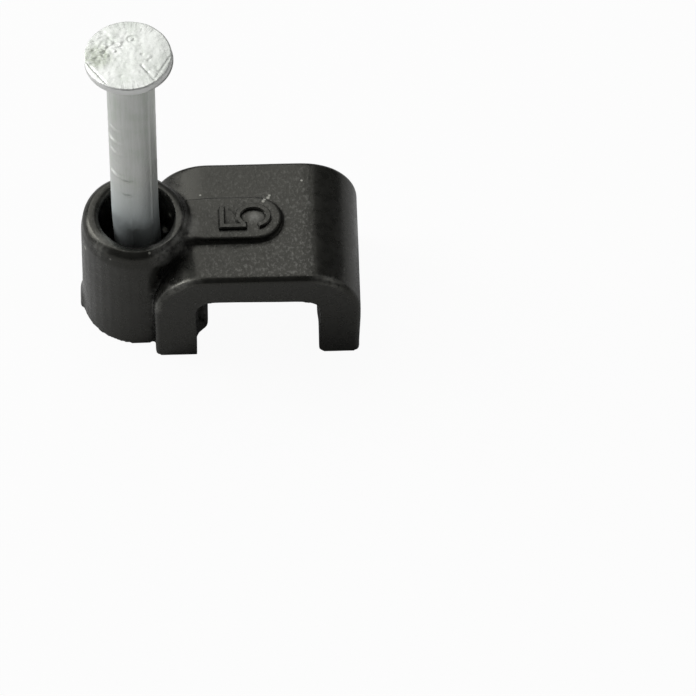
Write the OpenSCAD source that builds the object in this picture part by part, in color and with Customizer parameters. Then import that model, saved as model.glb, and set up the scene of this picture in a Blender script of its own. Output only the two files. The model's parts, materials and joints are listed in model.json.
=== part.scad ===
// Nail-in cable clip: a moulded saddle that bridges a cable, with a boss at one side for its steel nail.
// The wall is the plane z = 0. The nail stands on the Z axis and the cable runs along Y.

/* [Cable channel] */
// Width of the channel between the two legs
channel_w = 5.26; // [4.6:0.02:8]
// Height of the channel from the wall to its roof
channel_h = 3.88; // [3.1:0.01:6]
// Radius where the channel's roof meets the legs
channel_corner_r = 1; // [0.4:0.05:1.2]

/* [Saddle] */
// Depth of the saddle along the cable
saddle_d = 6.32; // [5.6:0.02:9]
// Thickness of the bridge over the cable
bridge_t = 1.45; // [1.1:0.01:1.8]
// Thickness of the leg beside the nail boss
boss_leg_t = 1.78; // [1.4:0.02:2.2]
// Thickness of the free leg
free_leg_t = 1.74; // [1.3:0.02:2.2]
// Radius of the saddle's two upper corners
shoulder_r = 2.4; // [1.6:0.05:2.5]
// Rounding of the saddle's outer edges
edge_r = 0.25; // [0.1:0.05:0.4]
// Lead-in chamfer inside the free leg's foot
foot_chamfer = 0.18; // [0.05:0.01:0.3]

/* [Retaining nibs] */
// How far the nib on the boss leg stands out
boss_nib_out = 0.46; // [0.2:0.01:0.5]
// How far the nib on the free leg stands out
free_nib_out = 0.15; // [0.1:0.01:0.5]
// Height of a nib's crest above the wall
nib_crest_z = 0.92; // [0.7:0.01:1]
// Height of the crest's flat
nib_flat = 0.14; // [0.05:0.01:0.3]
// Rise of the slope below the crest
nib_lower_rise = 0.34; // [0.2:0.01:0.45]
// Rise of the slope above the crest
nib_upper_rise = 0.7; // [0.4:0.02:0.9]
// Setback of the boss leg's nib from the saddle's front and back faces
boss_nib_setback = 0.6; // [0.2:0.05:1.4]
// Setback of the free leg's nib from the saddle's front and back faces
free_nib_setback = 1.2; // [0.2:0.05:1.4]
// Extra setback of the crest, which slopes the nib's ends
nib_end_slope = 0.3; // [0.1:0.05:0.6]

/* [Nail boss] */
// Diameter of the boss at its rim
boss_d = 4.74; // [4.5:0.02:5]
// Draft of the boss wall, in degrees, wider towards the wall
boss_draft = 1.4; // [0.5:0.1:2.5]
// Height of the rim above the bridge
rim_rise = 0.73; // [0.5:0.01:0.9]
// Fillet round the outside of the rim
rim_r = 0.45; // [0.1:0.01:0.5]
// Plastic between the mouth of the bore and the channel
channel_wall_t = 0.72; // [0.5:0.01:1]
// Diameter of the mouth that takes the nail's neck
mouth_d = 3.4; // [3:0.02:3.5]
// Chamfer at the edge of the mouth
mouth_chamfer = 0.06; // [0.02:0.01:0.1]
// Height of the boss foot that grips the nail
grip_h = 2.6; // [1.8:0.1:2.8]
// Height of the cone from the mouth down to the gripping bore
funnel_h = 0.8; // [0.4:0.1:1.2]

/* [Size tongue] */
// Width of the raised tongue on the bridge
tongue_w = 2.2; // [1.6:0.1:2.6]
// Reach of the tongue past the boss rim
tongue_reach = 3.78; // [2.6:0.02:4.4]
// Height of the tongue above the bridge
tongue_t = 0.27; // [0.1:0.01:0.36]

/* [Gate mark] */
// Width of the mark where the moulding was broken off its runner
gate_w = 1; // [0.6:0.1:2]
// Height of the gate mark
gate_h = 0.7; // [0.4:0.1:1.2]
// How far the gate mark stands out from the foot of the boss
gate_out = 0.08; // [0.04:0.01:0.2]

/* [Nail] */
// Diameter of the shank
nail_d = 2; // [1.8:0.05:2.2]
// Length of the nail with its head
nail_len = 16.5; // [13:0.5:25]
// Gap between the nail's point and the wall
nail_lift = 0.45; // [0.1:0.05:0.6]
// Diameter of the head
head_d = 3.62; // [3.5:0.02:4.4]
// Thickness of the head at its rim
head_t = 0.38; // [0.32:0.02:0.6]
// Rounding of the head's rim
head_edge_r = 0.08; // [0.06:0.01:0.15]
// Fillet between the head and the shank
neck_r = 0.46; // [0.2:0.01:0.6]
// Length of the four-sided point
point_len = 1.8; // [1.2:0.1:2.2]
// Radial gap between the shank and the bore that grips it
nail_clearance = 0.03; // [0.01:0.01:0.08]

/* [Grip marks] */
// Number of grip marks on each side of the shank
mark_count = 7; // [3:1:9]
// Distance between neighbouring marks
mark_pitch = 0.76; // [0.5:0.02:0.9]
// Distance from the top of the head to the first mark
mark_start = 4.4; // [1.8:0.1:5]
// Depth of a mark
mark_depth = 0.06; // [0.03:0.01:0.14]
// Height of a mark
mark_h = 0.2; // [0.08:0.02:0.3]
// Angle of the marked side about the nail, in degrees from +X
mark_side = 210; // [0:5:355]

/* [Hidden] */
$fn = 64;
// Overlap that keeps joined or cut faces from coinciding
lap = 0.2;

// Heights
bridge_z = channel_h + bridge_t;
rim_z = bridge_z + rim_rise;
funnel_z = grip_h + funnel_h;
head_z = nail_lift + nail_len;
neck_z = head_z - head_t;
shoulder_z = bridge_z - shoulder_r;

// Places along X
rim_edge_x = boss_d / 2;
channel_x = mouth_d / 2 + channel_wall_t;
boss_leg_x = channel_x - boss_leg_t;
free_leg_x = channel_x + channel_w;
saddle_end_x = free_leg_x + free_leg_t;
tongue_end_x = rim_edge_x + tongue_reach;

// Radii
boss_foot_r = rim_edge_x + rim_z * tan(boss_draft);
nail_r = nail_d / 2;
head_r = head_d / 2;
grip_r = nail_r + nail_clearance;
mouth_r = mouth_d / 2;

// Centre of the rim's fillet, placed so that its arc runs on from the drafted wall
rim_fillet_x = rim_edge_x + rim_r * tan(boss_draft) - rim_r / cos(boss_draft);
rim_fillet_z = rim_z - rim_r;

// Strip as deep as the saddle, from 0 to the shoulder radius, with its two outer corners rounded
module edge_section() {
    half_d = saddle_d / 2;
    translate([0, -half_d])
        square([shoulder_r - edge_r, saddle_d]);
    translate([0, -half_d + edge_r])
        square([shoulder_r, saddle_d - 2 * edge_r]);
    for (side = [-1, 1])
        translate([shoulder_r - edge_r, side * (half_d - edge_r)])
            circle(edge_r);
}

// Block with its upper corners and outer edges rounded, from which the channel is cut
module saddle_blank() {
    near_x = boss_leg_x + shoulder_r;
    far_x = saddle_end_x - shoulder_r;
    translate([near_x, -saddle_d / 2, 0])
        cube([far_x - near_x, saddle_d, shoulder_z]);
    translate([near_x, 0, shoulder_z])
        rotate([0, 90, 0])
            rotate([0, 0, 180])
                linear_extrude(far_x - near_x)
                    edge_section();
    for (x = [near_x, far_x])
        translate([x, 0, shoulder_z])
            rotate([90, 0, 0])
                rotate_extrude()
                    edge_section();
    translate([far_x, 0, 0])
        linear_extrude(shoulder_z)
            edge_section();
    translate([near_x, 0, 0])
        mirror([1, 0, 0])
            linear_extrude(shoulder_z)
                edge_section();
}

// Outline of the cable channel seen along the cable, open at the wall
module channel_outline() {
    corner_z = channel_h - channel_corner_r;
    translate([channel_x, -lap])
        square([channel_w, corner_z + lap]);
    translate([channel_x + channel_corner_r, -lap])
        square([channel_w - 2 * channel_corner_r, channel_h + lap]);
    for (x = [channel_x + channel_corner_r, free_leg_x - channel_corner_r])
        translate([x, corner_z])
            circle(channel_corner_r);
    polygon([
        [free_leg_x - lap, -lap],
        [free_leg_x + foot_chamfer + lap, -lap],
        [free_leg_x - lap, foot_chamfer + lap]
    ]);
}

module channel() {
    rotate([90, 0, 0])
        translate([0, 0, -saddle_d / 2 - lap])
            linear_extrude(saddle_d + 2 * lap)
                channel_outline();
}

// Ridge along the inside of a leg, rooted in the leg at x = 0 and standing out towards +X
module nib(nib_out, setback) {
    crest_low = nib_crest_z - nib_flat / 2;
    crest_high = nib_crest_z + nib_flat / 2;
    root_y = saddle_d / 2 - setback;
    crest_y = root_y - nib_end_slope;
    intersection() {
        rotate([90, 0, 0])
            translate([0, 0, -saddle_d / 2])
                linear_extrude(saddle_d)
                    polygon([
                        [-lap, crest_low - nib_lower_rise],
                        [0, crest_low - nib_lower_rise],
                        [nib_out, crest_low],
                        [nib_out, crest_high],
                        [0, crest_high + nib_upper_rise],
                        [-lap, crest_high + nib_upper_rise]
                    ]);
        linear_extrude(channel_h)
            polygon([
                [-lap, -root_y],
                [0, -root_y],
                [nib_out, -crest_y],
                [nib_out, crest_y],
                [0, root_y],
                [-lap, root_y]
            ]);
    }
}

// Drafted round boss with a filleted rim, still without its bore
module boss() {
    rotate_extrude() {
        polygon([
            [0, 0],
            [boss_foot_r, 0],
            [rim_fillet_x + rim_r * cos(boss_draft), rim_fillet_z + rim_r * sin(boss_draft)],
            [rim_fillet_x, rim_z],
            [0, rim_z]
        ]);
        translate([rim_fillet_x, rim_fillet_z])
            circle(rim_r);
    }
}

// Stepped bore: mouth for the neck of the nail, funnel, and the bore that grips the shank
module boss_bore() {
    rotate_extrude()
        polygon([
            [0, -lap],
            [grip_r, -lap],
            [grip_r, grip_h],
            [mouth_r, funnel_z],
            [mouth_r, rim_z - mouth_chamfer],
            [mouth_r + mouth_chamfer + lap, rim_z + lap],
            [0, rim_z + lap]
        ]);
}

// Raised plate on the bridge that carries the cable size
module tongue() {
    end_r = tongue_w / 2;
    root_t = bridge_t / 2;
    translate([0, 0, bridge_z - root_t])
        linear_extrude(tongue_t + root_t) {
            translate([0, -end_r])
                square([tongue_end_x - end_r, tongue_w]);
            translate([tongue_end_x - end_r, 0])
                circle(end_r);
        }
}

module gate_mark() {
    translate([-boss_foot_r - gate_out, -gate_w / 2, 0])
        cube([gate_out + boss_foot_r - grip_r - lap, gate_w, gate_h]);
}

module clip_body() {
    color([0.14, 0.14, 0.13])
        union() {
            difference() {
                union() {
                    saddle_blank();
                    boss();
                    tongue();
                    gate_mark();
                }
                channel();
                boss_bore();
            }
            translate([channel_x, 0, 0])
                nib(boss_nib_out, boss_nib_setback);
            translate([free_leg_x, 0, 0])
                mirror([1, 0, 0])
                    nib(free_nib_out, free_nib_setback);
        }
}

// Shank down to the level of the point, and the head with its round rim and the fillet under it
module nail_blank() {
    edge_x = head_r - head_edge_r;
    fillet_x = nail_r + neck_r;
    fillet_z = neck_z - neck_r;
    rotate_extrude() {
        translate([0, nail_lift])
            square([nail_r, nail_len]);
        translate([0, neck_z])
            square([edge_x, head_t]);
        translate([0, neck_z + head_edge_r])
            square([head_r, head_t - 2 * head_edge_r]);
        for (z = [neck_z + head_edge_r, head_z - head_edge_r])
            translate([edge_x, z])
                circle(head_edge_r);
        difference() {
            translate([0, fillet_z])
                square([fillet_x, neck_r + head_edge_r]);
            translate([fillet_x, fillet_z])
                circle(neck_r);
        }
    }
}

// Slab that tapers to an edge at the point; two of them crossed leave four flats
module point_slab() {
    rotate([90, 0, 0])
        linear_extrude(2 * head_d, center = true)
            polygon([
                [0, nail_lift],
                [nail_r, nail_lift + point_len],
                [head_d, nail_lift + point_len],
                [head_d, head_z + lap],
                [-head_d, head_z + lap],
                [-head_d, nail_lift + point_len],
                [-nail_r, nail_lift + point_len]
            ]);
}

// Shallow notches that the gripping dies press into two sides of the shank
module grip_marks() {
    for (side = [0, 180])
        rotate([0, 0, mark_side + side])
            for (i = [0 : mark_count - 1])
                translate([nail_r - mark_depth, nail_r, head_z - mark_start - i * mark_pitch])
                    rotate([90, 0, 0])
                        linear_extrude(nail_d)
                            polygon([
                                [0, 0],
                                [mark_depth + lap, mark_h * (mark_depth + lap) / mark_depth],
                                [mark_depth + lap, 0]
                            ]);
}

module nail() {
    color([0.68, 0.68, 0.65])
        difference() {
            intersection() {
                nail_blank();
                point_slab();
                rotate([0, 0, 90])
                    point_slab();
            }
            grip_marks();
        }
}

clip_body();
nail();
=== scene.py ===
import json
import math

import bmesh
import bpy
import numpy as np
from mathutils import Matrix, Vector, noise

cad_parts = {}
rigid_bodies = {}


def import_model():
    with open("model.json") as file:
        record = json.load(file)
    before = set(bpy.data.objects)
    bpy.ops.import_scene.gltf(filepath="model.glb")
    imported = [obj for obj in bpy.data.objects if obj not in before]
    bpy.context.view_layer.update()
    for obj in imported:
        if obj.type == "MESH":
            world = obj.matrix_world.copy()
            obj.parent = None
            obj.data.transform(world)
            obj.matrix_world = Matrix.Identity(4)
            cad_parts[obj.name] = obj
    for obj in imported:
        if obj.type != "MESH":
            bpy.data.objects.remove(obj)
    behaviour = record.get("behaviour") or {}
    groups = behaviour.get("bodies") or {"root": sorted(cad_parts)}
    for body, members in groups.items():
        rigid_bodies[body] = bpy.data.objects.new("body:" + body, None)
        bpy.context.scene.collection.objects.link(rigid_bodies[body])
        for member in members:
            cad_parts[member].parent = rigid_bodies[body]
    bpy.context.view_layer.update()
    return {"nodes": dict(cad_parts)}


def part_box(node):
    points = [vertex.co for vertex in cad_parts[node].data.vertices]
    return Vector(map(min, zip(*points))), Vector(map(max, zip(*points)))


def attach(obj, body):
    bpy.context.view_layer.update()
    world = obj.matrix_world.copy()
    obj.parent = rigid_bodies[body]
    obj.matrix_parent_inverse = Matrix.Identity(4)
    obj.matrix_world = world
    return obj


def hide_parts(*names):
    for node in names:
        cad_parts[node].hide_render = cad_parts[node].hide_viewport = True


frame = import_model()
scene = bpy.context.scene
mm = 0.001  # meshes are worked in millimetres, then brought to metres
print("frame loaded:", sorted(frame["nodes"]))


# small jobs that every piece needs

def newPiece(name, mesh):
    piece = bpy.data.objects.new(name, mesh)
    scene.collection.objects.link(piece)
    return piece


def meshFrom(name, points, faces):
    mesh = bpy.data.meshes.new(name)
    mesh.from_pydata([tuple(p) for p in points], [], [tuple(f) for f in faces])
    mesh.update()
    return mesh


def freeze(piece):
    # keep the mesh as the modifiers leave it
    evaluated = piece.evaluated_get(bpy.context.evaluated_depsgraph_get())
    mesh = bpy.data.meshes.new_from_object(evaluated)
    piece.modifiers.clear()
    piece.data = mesh


def readPoints(mesh):
    points = np.empty(len(mesh.vertices) * 3, np.float32)
    mesh.vertices.foreach_get("co", points)
    return points.reshape(-1, 3).astype(float)


def writePoints(mesh, points):
    mesh.vertices.foreach_set("co", points.astype(np.float32).ravel())
    mesh.update()


def readNormals(mesh):
    normals = np.empty(len(mesh.vertices) * 3, np.float32)
    mesh.vertices.foreach_get("normal", normals)
    return normals.reshape(-1, 3).astype(float)


def finishShading(mesh, sharpAngle):
    mesh.polygons.foreach_set("use_smooth", np.ones(len(mesh.polygons), bool))
    mesh.set_sharp_from_angle(angle=math.radians(sharpAngle))
    mesh.update()


def dress(piece, node, material):
    piece.data.transform(Matrix.Scale(mm, 4))
    piece.data.materials.clear()
    piece.data.materials.append(material)
    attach(piece, "root")
    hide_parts(node)


# camera: a long lens, high above the clip and a touch to its nail side

shot = {
    "azimuth": -1.661,       # degrees, 0 looks along the cable
    "elevation": 54.747,
    "distance": 236.743 * mm,
    "aimAcross": 9.0129 * mm,  # aim point from the nail's foot, across and up the picture
    "aimUp": -2.2384 * mm,
    "focalPixels": 5444.0,
    "framePixels": 696,
    "nearest": 0.01,         # metres, nothing nearer or farther is drawn
    "farthest": 20,
}


def makeCamera():
    azimuth, elevation = math.radians(shot["azimuth"]), math.radians(shot["elevation"])
    across = Vector((math.cos(azimuth), math.sin(azimuth), 0))
    back = Vector((math.sin(azimuth) * math.cos(elevation),
                   -math.cos(azimuth) * math.cos(elevation),
                   math.sin(elevation)))
    upward = back.cross(across)
    aim = across * shot["aimAcross"] + upward * shot["aimUp"]
    data = bpy.data.cameras.new("camera")
    data.lens = data.sensor_width * shot["focalPixels"] / shot["framePixels"]
    data.clip_start, data.clip_end = shot["nearest"], shot["farthest"]
    camera = bpy.data.objects.new("camera", data)
    scene.collection.objects.link(camera)
    camera.rotation_mode = "QUATERNION"
    camera.location = aim + back * shot["distance"]
    camera.rotation_quaternion = (-back).to_track_quat("-Z", "Y")
    scene.camera = camera


makeCamera()
print("camera set")


# node helpers for the materials

def addNode(tree, kind, **inputs):
    node = tree.nodes.new(kind)
    for name, value in inputs.items():
        node.inputs[name].default_value = value
    return node


def millimetres(tree, stretch=(1, 1, 1)):
    # object coordinates in millimetres, so that noise scales read as counts per millimetre
    place = tree.nodes.new("ShaderNodeTexCoord")
    scale = tree.nodes.new("ShaderNodeMapping")
    scale.inputs["Scale"].default_value = [s / mm for s in stretch]
    tree.links.new(place.outputs["Object"], scale.inputs["Vector"])
    return scale.outputs["Vector"]


def noiseAt(tree, vector, scale, detail, roughness):
    node = addNode(tree, "ShaderNodeTexNoise", Scale=scale, Detail=detail, Roughness=roughness)
    tree.links.new(vector, node.inputs["Vector"])
    return node.outputs["Fac"]


def remap(tree, value, fromLow, fromHigh, toLow, toHigh):
    node = tree.nodes.new("ShaderNodeMapRange")
    node.inputs["From Min"].default_value = fromLow
    node.inputs["From Max"].default_value = fromHigh
    node.inputs["To Min"].default_value = toLow
    node.inputs["To Max"].default_value = toHigh
    tree.links.new(value, node.inputs["Value"])
    return node.outputs["Result"]


def blendColour(tree, factor, first, second):
    node = tree.nodes.new("ShaderNodeMix")
    node.data_type = "RGBA"
    tree.links.new(factor, node.inputs["Factor"])
    low, high = [s for s in node.inputs if s.type == "RGBA"]
    for socket, colour in ((low, first), (high, second)):
        if isinstance(colour, bpy.types.NodeSocket):
            tree.links.new(colour, socket)
        else:
            socket.default_value = (*colour, 1)
    return [s for s in node.outputs if s.type == "RGBA"][0]


def maths(tree, operation, first, second):
    node = tree.nodes.new("ShaderNodeMath")
    node.operation = operation
    for socket, value in zip(node.inputs, (first, second)):
        if isinstance(value, bpy.types.NodeSocket):
            tree.links.new(value, socket)
        else:
            socket.default_value = value
    return node.outputs["Value"]


def apart(tree, vector):
    node = tree.nodes.new("ShaderNodeSeparateXYZ")
    tree.links.new(vector, node.inputs["Vector"])
    return [node.outputs[axis] for axis in "XYZ"]


def nearTo(tree, place, spot, radius, full=0.55):
    # 1 at the spot and over this share of its radius, falling to 0 at the radius
    node = tree.nodes.new("ShaderNodeVectorMath")
    node.operation = "DISTANCE"
    tree.links.new(place, node.inputs[0])
    node.inputs[1].default_value = spot
    return remap(tree, node.outputs["Value"], radius * full, radius, 1, 0)


def anyNear(tree, place, spots):
    # the strongest of several spots
    most = None
    for spot, radius in spots:
        near = nearTo(tree, place, spot, radius, full=0.2)
        most = near if most is None else maths(tree, "MAXIMUM", most, near)
    return most


def bump(tree, height, strength, distance, normal=None):
    node = addNode(tree, "ShaderNodeBump", Strength=strength, Distance=distance)
    tree.links.new(height, node.inputs["Height"])
    if normal is not None:
        tree.links.new(normal, node.inputs["Normal"])
    return node.outputs["Normal"]


def newMaterial(name):
    material = bpy.data.materials.new(name)
    material.use_nodes = True
    return material, material.node_tree, material.node_tree.nodes["Principled BSDF"]


# black moulding: nearly black, satin on its flat tops and smoother down its sides, with flecks and scuffs,
# and paler stretches that are partly painted highlight

blackMoulding = {
    "dark": (0.0075, 0.0077, 0.0068),
    "light": (0.0135, 0.0136, 0.0122),
    "scuff": (0.07, 0.07, 0.066),
    # pale specks of the tops: partly grain, partly painted glints
    "fleckAndGlint": (0.12, 0.12, 0.112),
    "specular": 0.45,
    "cornerSpecular": 0.05,
    "sheen": (1.0, 0.985, 0.87),  # its shine is a little warm
    "topRough": 0.4,
    "sideRough": 0.29,
    "roughSpread": 0.05,
    # noises: counts per millimetre, detail, roughness
    "mottle": (2.6, 5, 0.55),
    "grain": (7.5, 4, 0.7),
    "grainStretch": (1, 0.7, 1),  # a little longer along the cable
    "patches": (7, 4, 0.7),
    "dust": (4.5, 4, 0.65),
    # where each mask starts and where it is full
    "flatFrom": (0.97, 0.995),    # how squarely the face looks up
    "mottleFrom": (0.35, 0.65),
    "patchesFrom": (0.56, 0.68),
    "sharpFrom": (0.53, 0.6),     # how pointed an edge is before it is scuffed
    "roundFrom": (0.503, 0.514),  # and before it is rubbed
    "cornerFrom": (0.46, 0.495),  # and how hollow an inside corner is
    # the same, with the values at either end
    "speckFrom": (0.5, 0.66, 0, 0.8),
    "speckAcross": (2.4, 7.0, 0.45, 1),
    "speckAlong": (-3, 3, 1.75, 0.4),
    "dustFrom": (0.35, 0.6, 0.3, 1),
    # bumps: share left on the sides, strength, height
    "mottleSide": 0.35,
    "mottleBump": (0.25, 0.06 * mm),
    "grainSide": 0.15,
    "grainBump": (0.5, 0.03 * mm),
    # paler colour for edges that are partly worn and partly painted highlight
    "wornAndHighlit": (0.13, 0.13, 0.12),
    # stretches of edge painted paler, partly rubbed and partly painted highlight: place and radius, in
    # millimetres
    "wearAndHighlights": (((-1.5, -1.5, 5.85), 0.6), ((1.75, -3.05, 4.85), 1.2), ((8.2, -3.05, 5.05), 0.95),
             ((0.75, -3.05, 3.5), 0.55)),
    # paler colour for places that are partly rubbed and partly painted highlight
    "rubAndHighlight": (0.17, 0.17, 0.16),
    # and places painted paler all over, partly rubbed and partly painted highlight
    "rubAndHighlightSpots": (((1.15, -1.95, 5.75), 0.75), ((1.8, -1.3, 5.75), 0.8), ((2.16, -0.4, 5.75), 0.65),
             ((5.05, 0.02, 5.6), 0.4)),
    "crumb": (0.30, 0.30, 0.27),
    # crumbs and knocks that show pale: place and radius, in millimetres
    "crumbs": (((-2.2, -0.88, 4.88), 0.13), ((-1.16, -2.08, 5.58), 0.08), ((0.55, -2.08, 6.0), 0.08),
               ((1.41, 0.96, 4.61), 0.11), ((1.16, 1.14, 3.31), 0.17), ((7.08, 2.1, 5.33), 0.06),
               ((2.72, 1.45, 5.33), 0.06), ((8.81, 0.13, 4.88), 0.06), ((5.41, 0.83, 5.6), 0.08),
               ((5.47, 0.94, 5.58), 0.08), ((5.52, 1.03, 5.54), 0.1), ((5.57, 1.12, 5.45), 0.11),
               ((5.62, 1.21, 5.37), 0.1), ((5.68, 1.33, 5.33), 0.07)),
}


def makeBlackMoulding():
    look = blackMoulding
    material, tree, shader = newMaterial("blackMoulding")
    place = millimetres(tree)
    geometry = tree.nodes.new("ShaderNodeNewGeometry")
    pointed = geometry.outputs["Pointiness"]
    flat = remap(tree, apart(tree, geometry.outputs["Normal"])[2], *look["flatFrom"], 0, 1)
    mottle = noiseAt(tree, place, *look["mottle"])
    grain = noiseAt(tree, millimetres(tree, look["grainStretch"]), *look["grain"])
    colour = blendColour(tree, remap(tree, mottle, *look["mottleFrom"], 0, 1), look["dark"], look["light"])
    # specks on the tops, partly the finish's grain and partly painted glints where light catches it,
    # thicker away from the boss and towards the front
    x, y, _ = apart(tree, place)
    across, along = remap(tree, x, *look["speckAcross"]), remap(tree, y, *look["speckAlong"])
    onTops = maths(tree, "MULTIPLY", flat, maths(tree, "MULTIPLY", across, along))
    glintSpecks = maths(tree, "MULTIPLY", remap(tree, grain, *look["speckFrom"]), onTops)
    colour = blendColour(tree, glintSpecks, colour, look["fleckAndGlint"])
    # scuffs: only where the surface turns sharply, and there in flecks
    raised = remap(tree, pointed, *look["sharpFrom"], 0, 1)
    patches = remap(tree, noiseAt(tree, place, *look["patches"]), *look["patchesFrom"], 0, 1)
    colour = blendColour(tree, maths(tree, "MULTIPLY", raised, patches), colour, look["scuff"])
    # rubbed edges and rubbed places, both unevenly, painted paler as partly real rubbing and partly painted
    # highlight
    rounded = remap(tree, pointed, *look["roundFrom"], 0, 1)
    dusty = remap(tree, noiseAt(tree, place, *look["dust"]), *look["dustFrom"])
    # painted highlight, partly real wear, along the listed edge stretches
    wornAndHighlit = maths(tree, "MULTIPLY", anyNear(tree, place, look["wearAndHighlights"]), rounded)
    colour = blendColour(tree, maths(tree, "MULTIPLY", wornAndHighlit, dusty), colour, look["wornAndHighlit"])
    # painted highlight, partly real rubbing, over the listed places on the rim and tongue
    rubbedAndLit = maths(tree, "MULTIPLY", anyNear(tree, place, look["rubAndHighlightSpots"]), dusty)
    colour = blendColour(tree, rubbedAndLit, colour, look["rubAndHighlight"])
    for spot, radius in look["crumbs"]:
        colour = blendColour(tree, nearTo(tree, place, spot, radius), colour, look["crumb"])
    tree.links.new(colour, shader.inputs["Base Color"])
    finish = remap(tree, flat, 0, 1, look["sideRough"], look["topRough"])
    spread = remap(tree, mottle, *look["mottleFrom"], -look["roughSpread"], look["roughSpread"])
    tree.links.new(maths(tree, "ADD", finish, spread), shader.inputs["Roughness"])
    # hardly any shine gets out of the inside corners
    shine = remap(tree, pointed, *look["cornerFrom"], look["cornerSpecular"], look["specular"])
    tree.links.new(shine, shader.inputs["Specular IOR Level"])
    shader.inputs["Specular Tint"].default_value = (*look["sheen"], 1)
    lumps = maths(tree, "MULTIPLY", mottle, remap(tree, flat, 0, 1, look["mottleSide"], 1))
    pores = maths(tree, "MULTIPLY", grain, remap(tree, flat, 0, 1, look["grainSide"], 1))
    relief = bump(tree, pores, *look["grainBump"], bump(tree, lumps, *look["mottleBump"]))
    tree.links.new(relief, shader.inputs["Normal"])
    return material


# zinc plate: dull grey metal, drawn lengthwise, with a faint green cast that turns cool by the boss

zincPlate = {
    "grey": (0.74, 0.755, 0.722),
    "pale": (0.81, 0.825, 0.80),
    "green": (0.69, 0.73, 0.668),
    "cool": (0.70, 0.758, 0.762),
    "dull": (0.50, 0.515, 0.49),
    # painted highlight: the paler colour given to the head's rim
    "rim": (0.93, 0.94, 0.92),
    "stain": (0.44, 0.475, 0.40),
    "stainAt": (-1.28, -0.05, 16.95),  # dull greenish patch on the head
    "stainRadius": 0.75,
    "metallic": 0.7,
    "smoothest": 0.42,
    "roughest": 0.56,
    # noises: counts per millimetre, detail, roughness
    "drawn": (9, 4, 0.55),
    "drawnStretch": (1, 1, 0.06),
    "cloud": (1.1, 4, 0.55),
    "speck": (8, 4, 0.65),
    "outward": (12, 3, 0.55),        # counted round a circle of radius 1
    # where each mask starts and where it is full
    "greenFrom": (0.42, 0.66),
    "roughFrom": (0.35, 0.65),
    "coolFrom": (9.5, 6.5),          # heights above the wall
    "headFrom": (16.4, 16.55),
    "faceFrom": (0.7, 0.9),          # how squarely the head looks up
    "outwardFrom": (1.05, 1.6),      # distances from the nail's axis
    # the same, with the values at either end
    "paleFrom": (0.4, 0.65, 0, 0.7),
    "dullAcross": (0.2, 1.7, 0.23, 0.7),
    "stainSpecks": (0.35, 0.6, 0.35, 1),
    "markFrom": (0.45, 0.65, 0, 0.8),
    # bumps: strength and height
    "drawnBump": (0.12, 0.02 * mm),
    "speckBump": (0.4, 0.02 * mm),
    "outwardBump": (0.7, 0.03 * mm),
}


def makeZincPlate():
    look = zincPlate
    material, tree, shader = newMaterial("zincPlate")
    place = millimetres(tree)
    drawn = noiseAt(tree, millimetres(tree, look["drawnStretch"]), *look["drawn"])
    cloud = noiseAt(tree, place, *look["cloud"])
    speck = noiseAt(tree, place, *look["speck"])
    colour = blendColour(tree, remap(tree, cloud, *look["greenFrom"], 0, 1), look["grey"], look["green"])
    colour = blendColour(tree, remap(tree, drawn, *look["paleFrom"]), colour, look["pale"])
    # cooler down by the boss, and duller on the head, most towards the clip
    x, _, z = apart(tree, place)
    colour = blendColour(tree, remap(tree, z, *look["coolFrom"], 0, 1), colour, look["cool"])
    onHead = remap(tree, z, *look["headFrom"], 0, 1)
    duller = maths(tree, "MULTIPLY", onHead, remap(tree, x, *look["dullAcross"]))
    colour = blendColour(tree, duller, colour, look["dull"])
    stain = maths(tree, "MULTIPLY", nearTo(tree, place, look["stainAt"], look["stainRadius"]),
                  remap(tree, speck, *look["stainSpecks"]))
    colour = blendColour(tree, stain, colour, look["stain"])
    # dull lines on the struck face, and a painted highlight: the rim round it is painted paler
    outward = outwardMarks(tree, place)
    facing = apart(tree, tree.nodes.new("ShaderNodeNewGeometry").outputs["Normal"])[2]
    struck = remap(tree, facing, *look["faceFrom"], 0, 1)
    marked = maths(tree, "MULTIPLY", remap(tree, outward, *look["markFrom"]), struck)
    colour = blendColour(tree, marked, colour, look["dull"])
    rim = maths(tree, "MULTIPLY", onHead, maths(tree, "SUBTRACT", 1.0, struck))
    colour = blendColour(tree, rim, colour, look["rim"])
    tree.links.new(colour, shader.inputs["Base Color"])
    shader.inputs["Metallic"].default_value = look["metallic"]
    finish = remap(tree, cloud, *look["roughFrom"], look["smoothest"], look["roughest"])
    tree.links.new(finish, shader.inputs["Roughness"])
    relief = bump(tree, drawn, *look["drawnBump"])
    relief = bump(tree, speck, *look["speckBump"], relief)
    relief = bump(tree, outward, *look["outwardBump"], relief)
    tree.links.new(relief, shader.inputs["Normal"])
    return material


def outwardMarks(tree, place):
    # fine lines that run out to the rim of the head, where the metal spread under the die
    x, y, _ = apart(tree, place)
    flat = tree.nodes.new("ShaderNodeCombineXYZ")
    tree.links.new(x, flat.inputs["X"])
    tree.links.new(y, flat.inputs["Y"])
    way = tree.nodes.new("ShaderNodeVectorMath")
    way.operation = "NORMALIZE"
    tree.links.new(flat.outputs["Vector"], way.inputs[0])
    reach = tree.nodes.new("ShaderNodeVectorMath")
    reach.operation = "LENGTH"
    tree.links.new(flat.outputs["Vector"], reach.inputs[0])
    lines = noiseAt(tree, way.outputs["Vector"], *zincPlate["outward"])
    outer = remap(tree, reach.outputs["Value"], *zincPlate["outwardFrom"], 0, 1)
    return maths(tree, "MULTIPLY", lines, outer)


moulding = makeBlackMoulding()
plating = makeZincPlate()
print("materials made")


# clip body: the CAD solid given a skin whose edges are softly rounded, as they leave the mould

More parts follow.
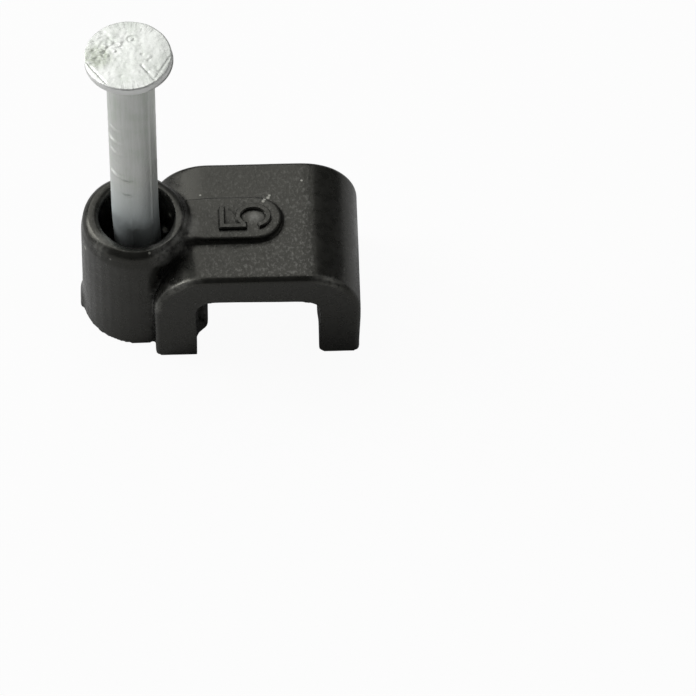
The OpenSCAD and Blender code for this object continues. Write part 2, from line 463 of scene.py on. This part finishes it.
clipSkin = {
    "weld": 0.0005,
    "voxel": 0.067,
    "softenRounds": 2,
    "softenFactor": 0.5,
    "polishRounds": 40,    # more rounds over the free shoulder, the boss leg's nib and the gate mark
    "lean": 0.06,          # how much further out the free leg stands above than at its foot
    "nibLow": 0.4,         # how much of the free leg's nib is left
    "nibHigh": 0.08,       # how much further the boss leg's nib stands out
    "roofSag": 0.09,       # how far the channel's roof sags by the boss leg
    "roofSagFar": 0.2,     # and by the free leg
    "rimIn": 0.055,        # how much the boss closes in at its rim
    "rimInFar": 0.16,      # and on the side of the tongue
    "mouthIn": 0.075,      # how much the mouth closes in at its edge
    "crown": 0.2,          # fall of the rim's top towards the mouth
    "crownFar": 0.07,      # and on the side away from the tongue
    "crownWide": 0.36,     # how far from the mouth that fall starts
    "rimFall": 0.2,        # fall of the rim's top outwards
    "rimFallAt": 45,       # where that is deepest, in degrees round from the tongue to the back
    "rimFallWide": 0.5,    # how far from the mouth it is full
    "ripple": 0.006,       # unevenness of the moulded faces
    "rippleScale": 0.9,
    "sharpAngle": 38,
}

# where those changes act, in millimetres from the nail's foot
# a pair is where a change starts and where it is full, or the two ends of a stretch
clipZones = {
    "leanHeight": (0.3, 2.6),
    "leanAcross": (5, 7.5),
    "wallHeight": (0.9, 1.1),   # where the free leg's inner wall is read, between these heights
    "wallAcross": 6,            # beyond this
    "wallEnds": 2.6,            # and this far along from the middle
    "nibThick": 0.3,
    "nibTop": 2.2,
    "bossNib": (2.45, 2.7),
    "bossNibEnd": 3.2,
    "bossNibTop": 2.6,
    "roofHeight": (2.6, 3.6),
    "roofTop": 4.3,
    "roofNear": (2.6, 3.2),
    "roofFar": (7.0, 7.6),
    "roofAcross": (1.5, 8.5),
    "bossReach": 3,             # reaches are distances from the nail's axis
    "axisReach": 0.1,           # what lies nearer is taken as this far off
    "rimAcross": (0.3, 1.6),
    "rimDepth": (0.9, 0.35),    # depths are below the top of the rim
    "rimReach": (1.95, 2.25),
    "mouthDepth": (0.8, 0.2),
    "mouthReach": (1.75, 2.1),
    "topDepth": 0.02,
    "crownAway": (0.1, 0.9),    # 0 beside the nail, 1 straight across it from the tongue
    "fallDepth": (0.5, 0.05),
    "shoulderAcross": 6.6,
    "shoulderHeight": 2.8,
    "shoulderEnds": 2.85,
    "shoulderUp": 0.02,         # how far its faces look up
    "shoulderOut": 0.6,         # or out
    "polishNib": (2.5, 3.2),
    "polishNibTop": 3,
    "gateAcross": -2.1,
    "gateHalf": 0.9,
    "gateHeight": (0.3, 3.2),
}

# plain size number raised on the tongue, its top towards the boss
sizeNumber = {
    "middle": (4.62, 0.0),  # on the tongue, from the nail's axis
    "height": 2.24,
    "width": 1.3,
    "stroke": 0.265,
    "raise": 0.15,
    "root": 0.12,
    "chamfer": 0.05,
    "bowlHeight": 1.55,
    "bowlFrom": 150,        # degrees round the bowl
    "bowlTo": -160,
    "bowlSteps": 48,
    "stemEnd": -0.085,
}


def offsetLine(path, reach):
    # the path moved sideways, with mitred corners
    path = np.array(path, float)
    step = np.diff(path, axis=0)
    step /= np.linalg.norm(step, axis=1)[:, None]
    side = np.stack([-step[:, 1], step[:, 0]], 1)
    first, last = np.vstack([side[:1], side]), np.vstack([side, side[-1:]])
    mitre = first + last
    mitre /= (mitre * first).sum(1)[:, None]
    return path + mitre * reach


def strokeSolid(name, path, low, high, half, chamfer):
    # a bar that follows the path, with a small chamfer round its top
    path = np.array(path, float)
    startWay = (path[1] - path[0]) / np.linalg.norm(path[1] - path[0])
    endWay = (path[-1] - path[-2]) / np.linalg.norm(path[-1] - path[-2])
    shorter = path.copy()
    shorter[0] += startWay * chamfer
    shorter[-1] -= endWay * chamfer
    loops = ((path, half, low), (path, half, high - chamfer), (shorter, half - chamfer, high))
    points = []
    for line, reach, z in loops:
        for edge in (offsetLine(line, reach), offsetLine(line, -reach)[::-1]):
            points += [(x, y, z) for x, y in edge]
    count = 2 * len(path)
    top = (len(loops) - 1) * count
    faces = []
    for start in range(0, top, count):
        for i in range(count):
            j = (i + 1) % count
            faces.append((start + i, start + count + i, start + count + j, start + j))
    for i in range(len(path) - 1):
        a, b, c, d = i, i + 1, count - 2 - i, count - 1 - i
        faces.append((a, b, c, d))
        faces.append((top + d, top + c, top + b, top + a))
    mesh = meshFrom(name, points, faces)
    solid = bmesh.new()
    solid.from_mesh(mesh)
    bmesh.ops.recalc_face_normals(solid, faces=solid.faces)
    solid.to_mesh(mesh)
    solid.free()
    return newPiece(name, mesh)


def makeNumber(tongueTop):
    size = sizeNumber
    half = size["stroke"] / 2
    top, wide = size["height"] / 2 - half, size["width"] / 2 - half
    bowlTall = size["bowlHeight"] / 2 - half
    bowlMiddle = -top + bowlTall
    middleX, middleY = size["middle"]

    def onTongue(across, up):
        return middleX - up, middleY + across

    cap = [onTongue(wide, top), onTongue(-wide, top), onTongue(-wide, size["stemEnd"])]
    turns = np.radians(np.linspace(size["bowlFrom"], size["bowlTo"], size["bowlSteps"]))
    bowl = [onTongue(wide * math.cos(t), bowlMiddle + bowlTall * math.sin(t)) for t in turns]
    low, high = tongueTop - size["root"], tongueTop + size["raise"]
    return [strokeSolid("numberCap", cap, low, high, half, size["chamfer"]),
            strokeSolid("numberBowl", bowl, low, high, half, size["chamfer"])]


def ramp(value, low, high):
    # runs smoothly from 0 at the first value to 1 at the second
    share = np.clip((value - low) / (high - low), 0, 1)
    return share * share * (3 - 2 * share)


def between(value, low, high):
    return (value > low) & (value < high)


def partWay(first, second, share):
    return first + (second - first) * share


def settleShape(points, rimTop):
    # where the moulding strays from its drawing: a leaning leg, uneven nibs, a sagging roof, a soft rim
    skin, zone = clipSkin, clipZones
    x, y, z = points.T

    def underRim(name):
        start, full = zone[name]
        return ramp(z, rimTop - start, rimTop - full)

    moved = points.copy()
    moved[:, 0] += skin["lean"] * ramp(z, *zone["leanHeight"]) * ramp(x, *zone["leanAcross"])
    ends = between(z, *zone["wallHeight"]) & (x > zone["wallAcross"]) & (abs(y) > zone["wallEnds"])
    wall = x[ends].min()
    nib = between(x, wall - zone["nibThick"], wall) & (z < zone["nibTop"])
    moved[nib, 0] += (wall - x[nib]) * (1 - skin["nibLow"])
    bossNib = ramp(x, *zone["bossNib"]) * (x < zone["bossNibEnd"]) * (z < zone["bossNibTop"])
    moved[:, 0] += skin["nibHigh"] * bossNib
    roof = ramp(z, *zone["roofHeight"]) * (z < zone["roofTop"])
    roof = roof * ramp(x, *zone["roofNear"]) * (1 - ramp(x, *zone["roofFar"]))
    moved[:, 2] -= roof * partWay(skin["roofSag"], skin["roofSagFar"], ramp(x, *zone["roofAcross"]))
    # the rim closes in, and so does the mouth
    reach = np.hypot(x, y)
    boss = reach < zone["bossReach"]
    offAxis = np.maximum(reach, zone["axisReach"])
    inwards = partWay(skin["rimIn"], skin["rimInFar"], ramp(x, *zone["rimAcross"]))
    drawn = inwards * underRim("rimDepth") * ramp(reach, *zone["rimReach"])
    drawn += skin["mouthIn"] * underRim("mouthDepth") * (1 - ramp(reach, *zone["mouthReach"]))
    moved[:, :2] -= points[:, :2] * (drawn * boss / offAxis)[:, None]
    # its top falls to the mouth in front, and outwards by the tongue and behind
    inner = reach[(z > rimTop - zone["topDepth"]) & boss].min()
    fall = np.clip((inner + skin["crownWide"] - reach) / skin["crownWide"], 0, 1) ** 2
    fall *= partWay(skin["crown"], skin["crownFar"], ramp(-x / offAxis, *zone["crownAway"]))
    away = np.clip(np.cos(np.arctan2(y, x) - math.radians(skin["rimFallAt"])), 0, 1)
    outwards = np.clip((reach - inner) / skin["rimFallWide"], 0, 1)
    fall = fall * (1 - away) + skin["rimFall"] * away * outwards * boss
    moved[:, 2] -= fall * underRim("fallDepth")
    return moved


def polish(clip):
    # broad curves run smoothly and small lumps have no sharp corners
    zone = clipZones
    points, normals = readPoints(clip.data), readNormals(clip.data)
    x, y, z = points.T
    facing = (normals[:, 2] > zone["shoulderUp"]) | (normals[:, 0] > zone["shoulderOut"])
    shoulder = (x > zone["shoulderAcross"]) & (z > zone["shoulderHeight"]) & (abs(y) < zone["shoulderEnds"])
    nib = between(x, *zone["polishNib"]) & (z < zone["polishNibTop"])
    gate = (x < zone["gateAcross"]) & (abs(y) < zone["gateHalf"]) & between(z, *zone["gateHeight"])
    group = clip.vertex_groups.new(name="polish")
    group.add(np.flatnonzero((shoulder & facing) | nib | gate).tolist(), 1, "REPLACE")
    smooth = clip.modifiers.new("polish", "SMOOTH")
    smooth.factor, smooth.iterations = clipSkin["softenFactor"], clipSkin["polishRounds"]
    smooth.vertex_group = group.name
    freeze(clip)


def makeClip():
    skin = clipSkin
    shell = frame["nodes"]["clip_body"].data.copy()
    shell.transform(Matrix.Scale(1 / mm, 4))
    weld = bmesh.new()
    weld.from_mesh(shell)
    bmesh.ops.remove_doubles(weld, verts=weld.verts, dist=skin["weld"])
    weld.to_mesh(shell)
    weld.free()
    points = readPoints(shell)
    tongueTop = points[points[:, 0] > sizeNumber["middle"][0], 2].max()
    clip = newPiece("clipBody", shell)
    remesh = clip.modifiers.new("skin", "REMESH")
    remesh.mode, remesh.voxel_size = "VOXEL", skin["voxel"]
    soften = clip.modifiers.new("soften", "SMOOTH")
    soften.factor, soften.iterations = skin["softenFactor"], skin["softenRounds"]
    freeze(clip)
    writePoints(clip.data, settleShape(readPoints(clip.data), points[:, 2].max()))
    polish(clip)
    # faces out of a mould are never quite flat
    points, normals = readPoints(clip.data), readNormals(clip.data)
    ripple = np.array([noise.noise(Vector(p) * skin["rippleScale"]) for p in points])
    writePoints(clip.data, points + normals * (ripple * skin["ripple"])[:, None])
    marks = makeNumber(tongueTop)
    for mark in marks:
        join = clip.modifiers.new("number", "BOOLEAN")
        join.operation, join.solver, join.object = "UNION", "MANIFOLD", mark
    freeze(clip)
    for mark in marks:
        bpy.data.objects.remove(mark)
    finishShading(clip.data, skin["sharpAngle"])
    dress(clip, "clip_body", moulding)
    print("clip body:", len(clip.data.polygons), "faces")


makeClip()


# nail: a headed wire nail turned as rings, its struck head and gripped shank then marked

nailBox = [v / mm for v in (*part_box("nail")[0], *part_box("nail")[1])]
headDrop = 0.06  # the struck face lies this much lower than it is drawn
nailShape = {
    "segments": 192,
    "headTop": nailBox[5] - headDrop,
    "tip": nailBox[2],
    "headRadius": nailBox[3],
    "headThick": 0.38,
    "rimRound": 0.08,
    "neckRound": 0.46,
    "shankRadius": 1.0,
    "pointLength": 1.8,
    "bend": 0.01,        # lean of the shank, for each millimetre from this height
    "bendAt": 10.5,
    "bendFrom": (4.5, 7),  # heights where the lean starts and where it is full
    "bendNeck": 0.5,     # how far into the hollow under the head it goes
    "shankRow": 0.1,     # spacing of the rings along the shank
    "markRow": 0.028,    # and where it is marked
    "markMargin": 0.5,   # how far the close rings go past the marks
    "headRows": 60,
    "headHole": 0.03,    # radius of the first ring
    "rimRows": 6,
    "rimStart": 75,      # degrees round the rim's edge, where its rings start
    "neckRows": 10,
    "pointRows": 16,
    "tipHole": 0.04,     # height of the last ring over the tip
    "faceEdge": 0.0001,  # the head is struck from just above its underside
    "sharpAngle": 40,
}
gripMarks = {
    # height above the wall, depth, width, where it is deepest and how far it reaches either way, in degrees
    "each": ((12.9, 0.045, 0.08, 212, 44), (12.08, 0.06, 0.08, 212, 44), (11.36, 0.055, 0.08, 215, 44),
             (10.6, 0.02, 0.08, 220, 44), (9.8, 0.06, 0.08, 216, 44), (9.6, 0.036, 0.045, 254, 26),
             (8.65, 0.036, 0.045, 254, 26)),
    "sag": 0.1,          # how much lower the middle of a mark is than its ends
    "lip": 0.5,          # height of the lip below a mark, as a share of its depth
    "lipBelow": 1.9,     # how far below it lies and how wide it is, in widths of the mark
    "lipWide": 0.9,
}
struckHead = {
    # sides where the die cut the rim away: angle, distance from the middle, slope
    "cuts": ((215.5, 1.6, 0.26), (-29, 1.6, 0.13)),
    # scores and ridges: ends, width, depth
    "scores": ((((0.55, -0.52), (0.80, -0.86)), 0.055, 0.03),
               (((0.80, -0.86), (1.09, -1.30)), 0.05, 0.025),
               (((-1.72, -0.30), (-0.90, -1.43)), 0.04, 0.045),
               (((-0.86, 1.04), (-0.46, 0.62)), 0.07, 0.018),
               (((-0.74, 1.12), (-0.34, 0.80)), 0.14, -0.026),
               (((1.72, -0.12), (1.12, -1.22)), 0.05, 0.022)),
    "pit": (0.136, 0.854),
    "pitRadius": 0.13,
    "pitWide": 0.05,
    "pitDeep": 0.02,
    # small knocks and lumps: place and height
    "knocks": ((-0.31, 0.58, 0.02), (-0.28, 0.43, -0.02), (-0.22, 0.61, -0.012), (-0.55, 0.26, 0.02),
               (-0.90, 0.49, 0.02), (-0.92, 0.24, -0.03), (-0.86, 0.0, 0.02), (-0.87, -0.40, 0.015),
               (-1.40, 0.72, -0.02), (-1.21, 0.82, -0.02), (-1.38, 0.32, -0.025), (-1.28, -0.15, -0.02),
               (0.59, 0.05, -0.018), (0.84, -0.29, -0.02), (0.90, -0.09, 0.02), (1.18, -0.67, -0.02),
               (1.25, -0.87, -0.02), (0.94, -0.76, -0.016), (0.52, -0.85, -0.016), (0.08, -0.40, -0.012),
               (-0.10, -0.58, -0.012), (0.54, 0.52, -0.012), (-0.27, -1.09, -0.016), (0.59, 1.31, -0.014)),
    "knockWide": 0.08,
    # the part that the die gripped is rougher
    "roughAt": (-1.12, 0.25),
    "roughReach": 0.75,
    "rough": 0.03,
    # two noises over the whole face: height, counts per millimetre, and the level they are cut at
    "hammered": 0.016,
    "hammerScale": 1.7,
    "hammerLevel": 3.0,
    "hammerLayers": (1.0, 2.0, 3),  # how fast they fade, how much finer each is, how many
    "dimpled": 0.005,
    "dimpleScale": 5.5,
    "dimpleLevel": 7.0,
}
# raised lines along the shank: the one left by the die, and a fine one between two heights above the wall
dieLine = {"angle": 318, "wide": 0.05, "high": 0.035}
fineLine = {"angle": 262.5, "wide": 0.025, "high": 0.012, "heights": (5.2, 7.4)}


def distanceToLine(points, ends):
    start, end = np.array(ends, float)
    way = end - start
    share = np.clip(((points - start) @ way) / (way @ way), 0, 1)
    return np.linalg.norm(points - start - share[:, None] * way, axis=1)


def bell(distance, wide):
    return np.exp(-(distance / wide) ** 2)


def noisePlaces(points, scale, level):
    return [Vector((x * scale, y * scale, level)) for x, y in points]


def headRelief(points):
    # height of the struck face above or below its level, at points on the head
    head = struckHead
    height = np.zeros(len(points))
    for angle, start, slope in head["cuts"]:
        way = np.array([math.cos(math.radians(angle)), math.sin(math.radians(angle))])
        height -= np.clip(points @ way - start, 0, None) * slope
    for ends, wide, deep in head["scores"]:
        height -= deep * bell(distanceToLine(points, ends), wide)
    toPit = np.linalg.norm(points - np.array(head["pit"]), axis=1)
    height -= head["pitDeep"] * bell(toPit - head["pitRadius"], head["pitWide"])
    for x, y, lift in head["knocks"]:
        height += lift * bell(np.linalg.norm(points - np.array([x, y]), axis=1), head["knockWide"])
    hammerAt = noisePlaces(points, head["hammerScale"], head["hammerLevel"])
    hammer = np.array([noise.fractal(p, *head["hammerLayers"]) for p in hammerAt])
    dimpleAt = noisePlaces(points, head["dimpleScale"], head["dimpleLevel"])
    dimple = np.array([noise.noise(p) for p in dimpleAt])
    gripped = bell(np.linalg.norm(points - np.array(head["roughAt"]), axis=1), head["roughReach"])
    return height + head["hammered"] * hammer + (head["dimpled"] + head["rough"] * gripped) * dimple


def nailRings():
    # radius and height of each ring, from the middle of the head down to the point
    shape = nailShape
    top, rim, hollow = shape["headTop"], shape["rimRound"], shape["neckRound"]
    edge = shape["headRadius"] - rim
    neck = top - shape["headThick"]
    fillet = shape["shankRadius"] + hollow
    rings = [(r, top) for r in np.linspace(shape["headHole"], edge, shape["headRows"])]
    for t in np.radians(np.linspace(shape["rimStart"], 0, shape["rimRows"])):
        rings.append((edge + rim * math.cos(t), top - rim + rim * math.sin(t)))
    for t in np.radians(np.linspace(0, 90, shape["rimRows"])):
        rings.append((edge + rim * math.cos(t), neck + rim - rim * math.sin(t)))
    for t in np.radians(np.linspace(0, 90, shape["neckRows"])):
        rings.append((fillet - hollow * math.sin(t), neck - hollow + hollow * math.cos(t)))
    marksTop = gripMarks["each"][0][0] + shape["markMargin"]
    marksLow = gripMarks["each"][-1][0] - shape["markMargin"]
    z = neck - hollow
    pointTop = shape["tip"] + shape["pointLength"]
    while z > pointTop + shape["shankRow"]:
        z -= shape["markRow"] if marksLow < z < marksTop else shape["shankRow"]
        rings.append((shape["shankRadius"], z))
    for z in np.linspace(pointTop, shape["tip"] + shape["tipHole"], shape["pointRows"]):
        rings.append((shape["shankRadius"], z))
    return np.array(rings)


def turnBetween(angle, degrees):
    return (angle - math.radians(degrees) + math.pi) % (2 * math.pi) - math.pi


def raisedLine(angle, line):
    return line["high"] * bell(turnBetween(angle, line["angle"]) * nailShape["shankRadius"], line["wide"])


def markShank(radius, height, angle):
    # grooves pressed into two sides, the four flats of the point, and the two raised lines
    shape, marks = nailShape, gripMarks
    for level, deep, wide, side, spread in marks["each"]:
        for turned in (side, side + 180):
            turn = np.clip(turnBetween(angle, turned) / math.radians(spread), -1, 1)
            fade = np.cos(turn * math.pi / 2) ** 2
            # a rounded groove with a lip pushed up below it
            above = height - level - marks["sag"] * turn ** 2
            lip = marks["lip"] * bell(above + wide * marks["lipBelow"], wide * marks["lipWide"])
            radius = radius - deep * (bell(above, wide) - lip) * fade
    half = shape["shankRadius"] * (height - shape["tip"]) / shape["pointLength"]
    flat = half / np.maximum(abs(np.cos(angle)), abs(np.sin(angle)))
    onPoint = height < shape["tip"] + shape["pointLength"]
    radius = np.where(onPoint, np.minimum(radius, flat), radius)
    fine = np.where(between(height, *fineLine["heights"]), raisedLine(angle, fineLine), 0)
    return np.where(onPoint, radius, radius + raisedLine(angle, dieLine) + fine)


def makeNail():
    shape = nailShape
    rings = nailRings()
    turns = np.arange(shape["segments"]) * 2 * math.pi / shape["segments"]
    angle = np.tile(turns, len(rings))
    radius = np.repeat(rings[:, 0], shape["segments"])
    height = np.repeat(rings[:, 1], shape["segments"])
    underHead = shape["headTop"] - shape["headThick"] - shape["neckRound"]
    radius = np.where(height < underHead, markShank(radius, height, angle), radius)
    points = np.stack([radius * np.cos(angle), radius * np.sin(angle), height], 1)
    # the struck face, faded out down the rim
    onHead = height > shape["headTop"] - shape["headThick"] + shape["faceEdge"]
    depth = np.clip((height[onHead] - shape["headTop"] + shape["headThick"]) / shape["headThick"], 0, 1)
    points[onHead, 2] += headRelief(points[onHead, :2]) * depth
    leaning = ramp(height, *shape["bendFrom"]) * (height < underHead + shape["bendNeck"])
    points[:, 0] += shape["bend"] * (height - shape["bendAt"]) * leaning
    middle = len(points)
    points = np.vstack([points, [0, 0, shape["headTop"]], [0, 0, shape["tip"]]])
    faces = []
    n = shape["segments"]
    for row in range(len(rings) - 1):
        for i in range(n):
            j = (i + 1) % n
            faces.append((row * n + i, (row + 1) * n + i, (row + 1) * n + j, row * n + j))
    last = (len(rings) - 1) * n
    for i in range(n):
        j = (i + 1) % n
        faces.append((middle, i, j))
        faces.append((middle + 1, last + j, last + i))
    nail = newPiece("steelNail", meshFrom("steelNail", points, faces))
    finishShading(nail.data, shape["sharpAngle"])
    dress(nail, "nail", plating)
    print("nail:", len(nail.data.polygons), "faces")


makeNail()


# white sweep: a floor disc and a low wall far round it, and the lamps

stageLook = {
    "segments": 96,
    "floorRadius": 3.0,
    "wallHeight": 0.5,
    "below": 0.01 * mm,   # the floor lies this far under the feet
    "colour": (0.6, 0.6, 0.6),
    "whiteSeen": 0.95,    # how much of the floor in view is plain white, the rest takes the shadow
    "whiteMirrored": 0.03,  # and how much of what the clip and nail mirror of it
}
lamps = {
    # name: direction from the clip (azimuth, elevation), distance, width, height, watts
    "softbox": (211, 51, 0.42, 0.54, 0.38, 1.3),
    "leftPanel": (253, 30, 0.46, 0.24, 0.3, 1.4),
    "rightPanel": (84, 37, 0.42, 0.18, 0.28, 0.12),
}
lampsAim = Vector((3, 0, 5)) * mm
roomGrey = 0.095


def makeStage():
    look = stageLook
    n = look["segments"]
    turns = [2 * math.pi * i / n for i in range(n)]
    ring = [(look["floorRadius"] * math.cos(t), look["floorRadius"] * math.sin(t)) for t in turns]
    points = [(x, y, -look["below"]) for x, y in ring] + [(x, y, look["wallHeight"]) for x, y in ring]
    faces = [tuple(range(n))]
    faces += [(i, n + i, n + (i + 1) % n, (i + 1) % n) for i in range(n)]
    sweep = newPiece("sweep", meshFrom("sweep", points, faces))
    material = bpy.data.materials.new("sweepWhite")
    material.use_nodes = True
    tree = material.node_tree
    tree.nodes.clear()
    paint = tree.nodes.new("ShaderNodeBsdfDiffuse")
    paint.inputs["Color"].default_value = (*look["colour"], 1)
    glow = addNode(tree, "ShaderNodeEmission", Color=(1, 1, 1, 1), Strength=1.0)
    ray = tree.nodes.new("ShaderNodeLightPath")
    mirrored = maths(tree, "MAXIMUM", ray.outputs["Is Glossy Ray"], ray.outputs["Is Transmission Ray"])
    share = maths(tree, "MAXIMUM",
                  maths(tree, "MULTIPLY", ray.outputs["Is Camera Ray"], look["whiteSeen"]),
                  maths(tree, "MULTIPLY", mirrored, look["whiteMirrored"]))
    mix = tree.nodes.new("ShaderNodeMixShader")
    tree.links.new(share, mix.inputs["Fac"])
    tree.links.new(paint.outputs["BSDF"], mix.inputs[1])
    tree.links.new(glow.outputs["Emission"], mix.inputs[2])
    out = tree.nodes.new("ShaderNodeOutputMaterial")
    tree.links.new(mix.outputs["Shader"], out.inputs["Surface"])
    sweep.data.materials.append(material)


def makeLamps():
    for name, (azimuth, elevation, distance, width, height, watts) in lamps.items():
        data = bpy.data.lights.new(name, "AREA")
        data.shape, data.size, data.size_y, data.energy = "RECTANGLE", width, height, watts
        lamp = bpy.data.objects.new(name, data)
        scene.collection.objects.link(lamp)
        a, e = math.radians(azimuth), math.radians(elevation)
        way = Vector((math.sin(a) * math.cos(e), -math.cos(a) * math.cos(e), math.sin(e)))
        lamp.location = lampsAim + way * distance
        lamp.rotation_euler = (-way).to_track_quat("-Z", "Y").to_euler()
    world = bpy.data.worlds.new("room")
    world.use_nodes = True
    world.node_tree.nodes["Background"].inputs["Color"].default_value = (roomGrey, roomGrey, roomGrey, 1)
    scene.world = world
    scene.view_settings.view_transform = "Standard"


makeStage()
makeLamps()
print("stage and lamps set")
